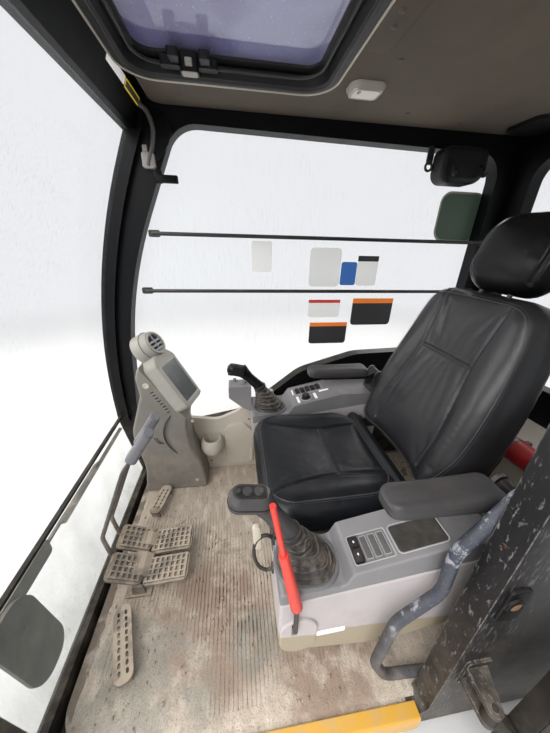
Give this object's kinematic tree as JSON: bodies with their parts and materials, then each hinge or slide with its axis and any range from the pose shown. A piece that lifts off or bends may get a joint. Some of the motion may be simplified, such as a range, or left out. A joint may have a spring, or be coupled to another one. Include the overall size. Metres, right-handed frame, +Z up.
{
  "type": "excavator operator cab",
  "caption": "Glazed operator's cab of an excavator with seat, consoles, levers, pedals and monitor, its door folded back and a tinted hatch in the roof.",
  "frame": {"origin": "middle of the four cab mount bolts, at the underside of the mount pads", "axes": "+Z up, -Y forward, +X towards the operator's left, where the door is"},
  "size_m": [1.172, 2.0896, 1.667],
  "materials": {
    "frame_black": "black baked paint, worn and dusty",
    "shell_yellow": "yellow gloss paint",
    "glass_clear": "clear safety glass, dusty",
    "glass_hatch": "violet tinted sheet",
    "lining": "taupe moulded lining",
    "plastic_beige": "beige moulded trim",
    "plastic_grey": "light grey moulded housing",
    "plastic_dark": "dark grey moulded cover",
    "plastic_black": "black moulded plastic",
    "vinyl": "blue-black seat vinyl",
    "rubber_black": "black rubber",
    "mat": "ribbed mat under dry earth",
    "lever_grey": "grey lever grip",
    "lever_red": "red coated lever",
    "screen": "dark screen",
    "rail_blue": "dark blue-grey paint, worn",
    "steel_dark": "dark painted steel",
    "lamp": "ribbed lamp lens"
  },
  "bodies": {
    "cab": {"base_frame": "frame_black", "floor_mat": "mat", "right_side_frame": "frame_black", "left_side_frame": "frame_black", "rear_panel": "frame_black", "front_crossmembers": "frame_black", "windshield_panes": "glass_clear", "windshield_tracks": "frame_black", "fixed_window_panes": "glass_clear", "outer_skins": "shell_yellow", "window_guard_bars": "steel_dark", "roof_panel": "shell_yellow", "headliner": "lining", "speakers": "plastic_black", "hatch_trim": "rubber_black", "right_trim": "plastic_beige", "cup_holder": "plastic_beige", "rear_shelf": "plastic_beige", "monitor_column": "plastic_beige", "monitor_head": "plastic_beige", "monitor_screen": "screen", "air_vent": "plastic_dark", "seat_base": "rubber_black", "left_console_housing": "plastic_grey", "left_console_top": "plastic_dark", "right_console_housing": "plastic_grey", "right_console_top": "plastic_dark", "lever_boots": "rubber_black", "left_joystick": "plastic_black", "right_joystick": "plastic_black", "lock_lever": "lever_red", "armrest_brackets": "steel_dark", "left_travel_pedal": "steel_dark", "right_travel_pedal": "steel_dark", "travel_grips": "lever_grey", "pedal_bracket": "steel_dark", "footrest_plates": "steel_dark", "grab_rail": "rail_blue", "wiper_cover": "plastic_black", "dome_light": "lamp", "rail_housing": "plastic_black"},
    "door": {"door_frame": "frame_black", "door_seal": "rubber_black", "door_glass": "glass_clear", "door_handles": "plastic_black"},
    "hatch": {"hatch_frame": "rubber_black", "hatch_glass": "glass_hatch", "hatch_latches": "plastic_black"},
    "seat": {"seat_pan": "steel_dark", "seat_cushion": "vinyl"},
    "backrest": {"seat_back": "vinyl", "backrest_shell": "plastic_black"},
    "headrest": {"headrest": "vinyl", "headrest_posts": "steel_dark"},
    "left_armrest": {"left_armrest_pad": "vinyl", "left_armrest_arm": "plastic_black"},
    "right_armrest": {"right_armrest_pad": "vinyl", "right_armrest_arm": "plastic_black"},
    "wiper": {"wiper_arm": "steel_dark"}
  },
  "joints": [
    {"name": "door_hinge", "type": "hinge", "parent": "cab", "child": "door", "pos_m": [0.566, 0.175, 0.755], "axis": [0, 0, -1], "range_deg": [0, 180]},
    {"name": "hatch_hinge", "type": "hinge", "parent": "cab", "child": "hatch", "pos_m": [0, -0.006, 1.659], "axis": [-1, 0, 0], "range_deg": [0, 45]},
    {"name": "seat_slide", "type": "slide", "parent": "cab", "child": "seat", "axis": [0, -1, 0], "range_m": [-0.06, 0.08]},
    {"name": "backrest_recline", "type": "hinge", "parent": "seat", "child": "backrest", "pos_m": [0.01, 0.205, 0.47], "axis": [-1, 0, 0], "range_deg": [-14, 15]},
    {"name": "headrest_slide", "type": "slide", "parent": "backrest", "child": "headrest", "axis": [0, 0.2924, 0.9563], "range_m": [0, 0.06]},
    {"name": "left_armrest_hinge", "type": "hinge", "parent": "cab", "child": "left_armrest", "pos_m": [0.365, 0.266, 0.696], "axis": [-1, 0, 0], "range_deg": [0, 95]},
    {"name": "right_armrest_hinge", "type": "hinge", "parent": "cab", "child": "right_armrest", "pos_m": [-0.294, 0.278, 0.676], "axis": [-1, 0, 0], "range_deg": [0, 95]},
    {"name": "wiper_swing", "type": "hinge", "parent": "cab", "child": "wiper", "pos_m": [0.298, -0.89, 0.346], "axis": [0, 1, 0], "range_deg": [0, 85]}
  ]
}
